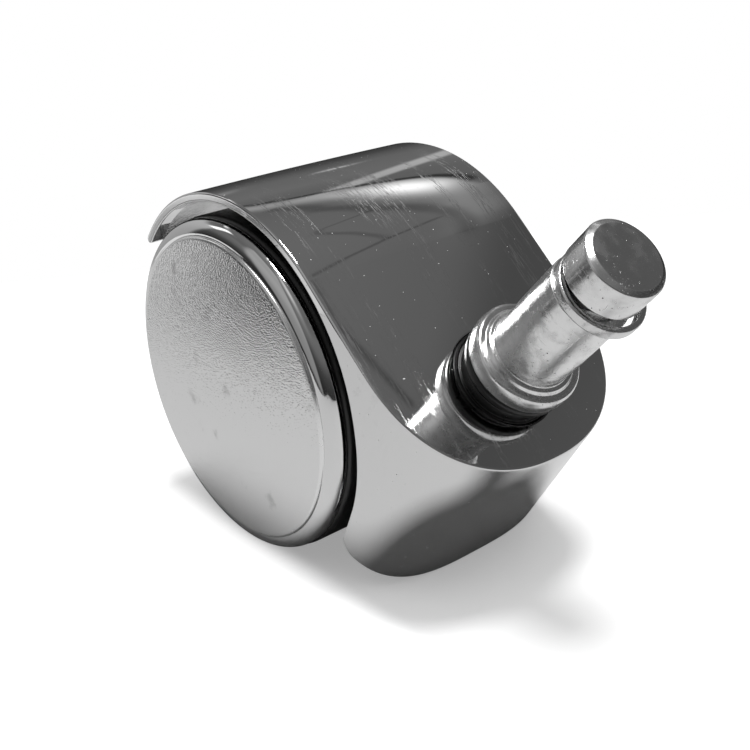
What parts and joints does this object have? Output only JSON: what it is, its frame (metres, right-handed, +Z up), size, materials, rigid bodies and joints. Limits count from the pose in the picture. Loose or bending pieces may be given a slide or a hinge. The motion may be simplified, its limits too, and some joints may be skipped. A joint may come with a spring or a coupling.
{
  "type": "chair castor",
  "caption": "Swivel chair castor: paired wheels with domed caps under a one-piece polished hood, on a short grooved stem with a split grip ring.",
  "frame": {"origin": "on the stem's axis, at the collar's face that the chair leg comes down on", "axes": "+Z up the stem to its tip, +X to the nose of the hood, Y along the wheels' axle"},
  "size_m": [0.0667, 0.0448, 0.083],
  "materials": {
    "hood_chrome": "polished chrome plating with fine buffing scratches and specks of dust",
    "cap_chrome": "chrome plating, finely pebbled on the face and polished on the rim",
    "plated_steel": "zinc-plated turned steel with light scuffs and pits",
    "spring_steel": "plated spring steel",
    "black_nylon": "moulded black nylon",
    "black_tread": "smooth black polyurethane"
  },
  "bodies": {
    "stem": {"stem": "plated_steel", "stem_washer": "plated_steel", "stem_clip": "spring_steel"},
    "grip_ring": {"grip_ring": "spring_steel"},
    "hood": {"hood": "hood_chrome", "dust_washer": "black_nylon", "swivel_bush": "black_nylon", "axle": "plated_steel", "spacer_washer_left": "plated_steel", "spacer_washer_right": "plated_steel", "axle_clip_left": "spring_steel", "axle_clip_right": "spring_steel"},
    "wheel_left": {"wheel_core_left": "black_nylon", "tread_left": "black_tread", "wheel_cap_left": "cap_chrome", "hub_bush_left": "plated_steel"},
    "wheel_right": {"wheel_core_right": "black_nylon", "tread_right": "black_tread", "wheel_cap_right": "cap_chrome", "hub_bush_right": "plated_steel"}
  },
  "joints": [
    {"name": "swivel", "type": "hinge", "parent": "stem", "child": "hood", "pos_m": [0, 0, 0], "axis": [0, 0, 1], "continuous": true},
    {"name": "wheel_left_spin", "type": "hinge", "parent": "hood", "child": "wheel_left", "pos_m": [-0.022, 0, -0.0355], "axis": [0, 1, 0], "continuous": true},
    {"name": "wheel_right_spin", "type": "hinge", "parent": "hood", "child": "wheel_right", "pos_m": [-0.022, 0, -0.0355], "axis": [0, 1, 0], "continuous": true},
    {"name": "ring_float", "type": "slide", "parent": "stem", "child": "grip_ring", "axis": [-0.866, -0.5, 0], "range_m": [0, 0.0015], "deforming": ["grip_ring"]}
  ]
}
